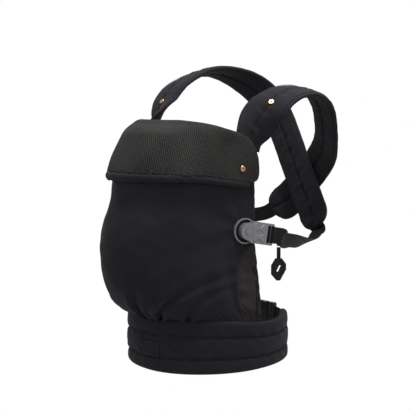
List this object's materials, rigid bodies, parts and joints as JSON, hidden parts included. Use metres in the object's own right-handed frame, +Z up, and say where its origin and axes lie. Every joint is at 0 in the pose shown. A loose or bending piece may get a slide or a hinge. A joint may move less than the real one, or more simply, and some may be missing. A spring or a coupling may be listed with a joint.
{
  "type": "soft baby carrier",
  "caption": "Soft structured baby carrier: padded waist belt, bulging front panel, fold-down mesh head support and crossed padded shoulder straps with side-release buckles.",
  "frame": {"origin": "middle of the whole carrier's footprint, on the plane under the belt's bottom edge", "axes": "+Z up, -Y towards the child (front), +X towards the wearer's left hand"},
  "size_m": [0.3542, 0.5348, 0.5494],
  "materials": {
    "cotton": "matt woven",
    "air_mesh": "matt spacer mesh",
    "gusset_cloth": "matt woven",
    "foam": "foam",
    "webbing": "woven webbing",
    "black_plastic": "moulded acetal",
    "grey_plastic": "moulded acetal",
    "tab_rubber": "moulded soft rubber",
    "snap_metal": "polished rose gold plate"
  },
  "bodies": {
    "root": {"belt_cover": "cotton", "belt_foam_lower": "foam", "belt_foam_middle": "foam", "belt_foam_upper": "foam", "belt_lining": "cotton", "belt_patch": "cotton", "buckle_anchor_patch_left": "webbing", "buckle_anchor_patch_right": "webbing", "buckle_base_left": "grey_plastic", "buckle_base_right": "grey_plastic", "buckle_housing_left": "grey_plastic", "buckle_housing_right": "grey_plastic", "buckle_rivet_left": "grey_plastic", "buckle_rivet_right": "grey_plastic", "edge_binding_left": "cotton", "edge_binding_right": "cotton", "head_snap_stud_left": "snap_metal", "head_snap_stud_right": "snap_metal", "head_support_crest": "air_mesh", "leg_gusset_left": "gusset_cloth", "leg_gusset_right": "gusset_cloth", "panel_cover": "cotton", "panel_lining": "cotton", "shoulder_strap_cover_left": "cotton", "shoulder_strap_cover_right": "cotton", "shoulder_strap_lining_left": "cotton", "shoulder_strap_lining_right": "cotton", "shoulder_strap_padding_left": "foam", "shoulder_strap_padding_right": "foam", "strap_snap_left": "snap_metal", "strap_snap_right": "snap_metal", "strap_webbing_left": "webbing", "strap_webbing_right": "webbing", "waist_buckle_housing": "black_plastic", "waist_webbing_left": "webbing", "waist_webbing_right": "webbing"},
    "head_support": {"head_support_mesh": "air_mesh", "head_support_lining": "cotton", "head_support_roll": "cotton", "head_snap_cap_left": "snap_metal", "head_snap_cap_right": "snap_metal", "head_snap_socket_left": "snap_metal", "head_snap_socket_right": "snap_metal"},
    "waist_buckle_insert": {"waist_buckle_insert": "black_plastic"},
    "waist_buckle_prong_upper": {"waist_buckle_prong_upper": "black_plastic"},
    "waist_buckle_prong_lower": {"waist_buckle_prong_lower": "black_plastic"},
    "buckle_insert_left": {"buckle_insert_left": "grey_plastic", "webbing_fold_left": "webbing"},
    "buckle_prong_upper_left": {"buckle_prong_upper_left": "grey_plastic"},
    "buckle_prong_lower_left": {"buckle_prong_lower_left": "grey_plastic"},
    "pull_tab_left": {"pull_tab_left": "tab_rubber", "pull_tape_left": "webbing"},
    "buckle_insert_right": {"buckle_insert_right": "grey_plastic", "webbing_fold_right": "webbing"},
    "buckle_prong_upper_right": {"buckle_prong_upper_right": "grey_plastic"},
    "buckle_prong_lower_right": {"buckle_prong_lower_right": "grey_plastic"},
    "pull_tab_right": {"pull_tab_right": "tab_rubber", "pull_tape_right": "webbing"}
  },
  "joints": [
    {"name": "head_support_fold", "type": "hinge", "parent": "root", "child": "head_support", "pos_m": [-0.00005, -0.15846, 0.446], "axis": [-1, 0, 0], "range_deg": [0, 150]},
    {"name": "left_buckle_release", "type": "slide", "parent": "root", "child": "buckle_insert_left", "axis": [0.2547, 0.949, -0.1858], "range_m": [0, 0.026], "deforming": ["strap_webbing_left"]},
    {"name": "left_prong_upper_press", "type": "hinge", "parent": "buckle_insert_left", "child": "buckle_prong_upper_left", "pos_m": [0.14178, -0.03202, 0.25638], "axis": [0.9669, -0.2527, 0.0352], "range_deg": [0, 8], "stiffness_Nm_per_rad": 0.4},
    {"name": "left_prong_lower_press", "type": "hinge", "parent": "buckle_insert_left", "child": "buckle_prong_lower_left", "pos_m": [0.14149, -0.03601, 0.23556], "axis": [-0.9669, 0.2527, -0.0352], "range_deg": [0, 8], "stiffness_Nm_per_rad": 0.4},
    {"name": "left_tab_swing", "type": "hinge", "parent": "buckle_insert_left", "child": "pull_tab_left", "pos_m": [0.15203, -0.0031, 0.21992], "axis": [0.7071, -0.7071, 0], "range_deg": [-25, 25]},
    {"name": "right_buckle_release", "type": "slide", "parent": "root", "child": "buckle_insert_right", "axis": [-0.2547, 0.949, -0.1858], "range_m": [0, 0.026], "deforming": ["strap_webbing_right"]},
    {"name": "right_prong_upper_press", "type": "hinge", "parent": "buckle_insert_right", "child": "buckle_prong_upper_right", "pos_m": [-0.14188, -0.03202, 0.25638], "axis": [0.9669, 0.2527, -0.0352], "range_deg": [0, 8], "stiffness_Nm_per_rad": 0.4},
    {"name": "right_prong_lower_press", "type": "hinge", "parent": "buckle_insert_right", "child": "buckle_prong_lower_right", "pos_m": [-0.14159, -0.03601, 0.23556], "axis": [-0.9669, -0.2527, 0.0352], "range_deg": [0, 8], "stiffness_Nm_per_rad": 0.4},
    {"name": "right_tab_swing", "type": "hinge", "parent": "buckle_insert_right", "child": "pull_tab_right", "pos_m": [-0.15213, -0.0031, 0.21992], "axis": [-0.7071, -0.7071, 0], "range_deg": [-25, 25]},
    {"name": "waist_buckle_release", "type": "slide", "parent": "root", "child": "waist_buckle_insert", "axis": [1, 0, 0], "range_m": [0, 0.026], "deforming": ["waist_webbing_left"]},
    {"name": "waist_prong_upper_press", "type": "hinge", "parent": "waist_buckle_insert", "child": "waist_buckle_prong_upper", "pos_m": [0.01635, 0.11955, 0.07543], "axis": [0, -1, 0], "range_deg": [0, 8], "stiffness_Nm_per_rad": 0.4},
    {"name": "waist_prong_lower_press", "type": "hinge", "parent": "waist_buckle_insert", "child": "waist_buckle_prong_lower", "pos_m": [0.01635, 0.11955, 0.04857], "axis": [0, 1, 0], "range_deg": [0, 8], "stiffness_Nm_per_rad": 0.4}
  ]
}
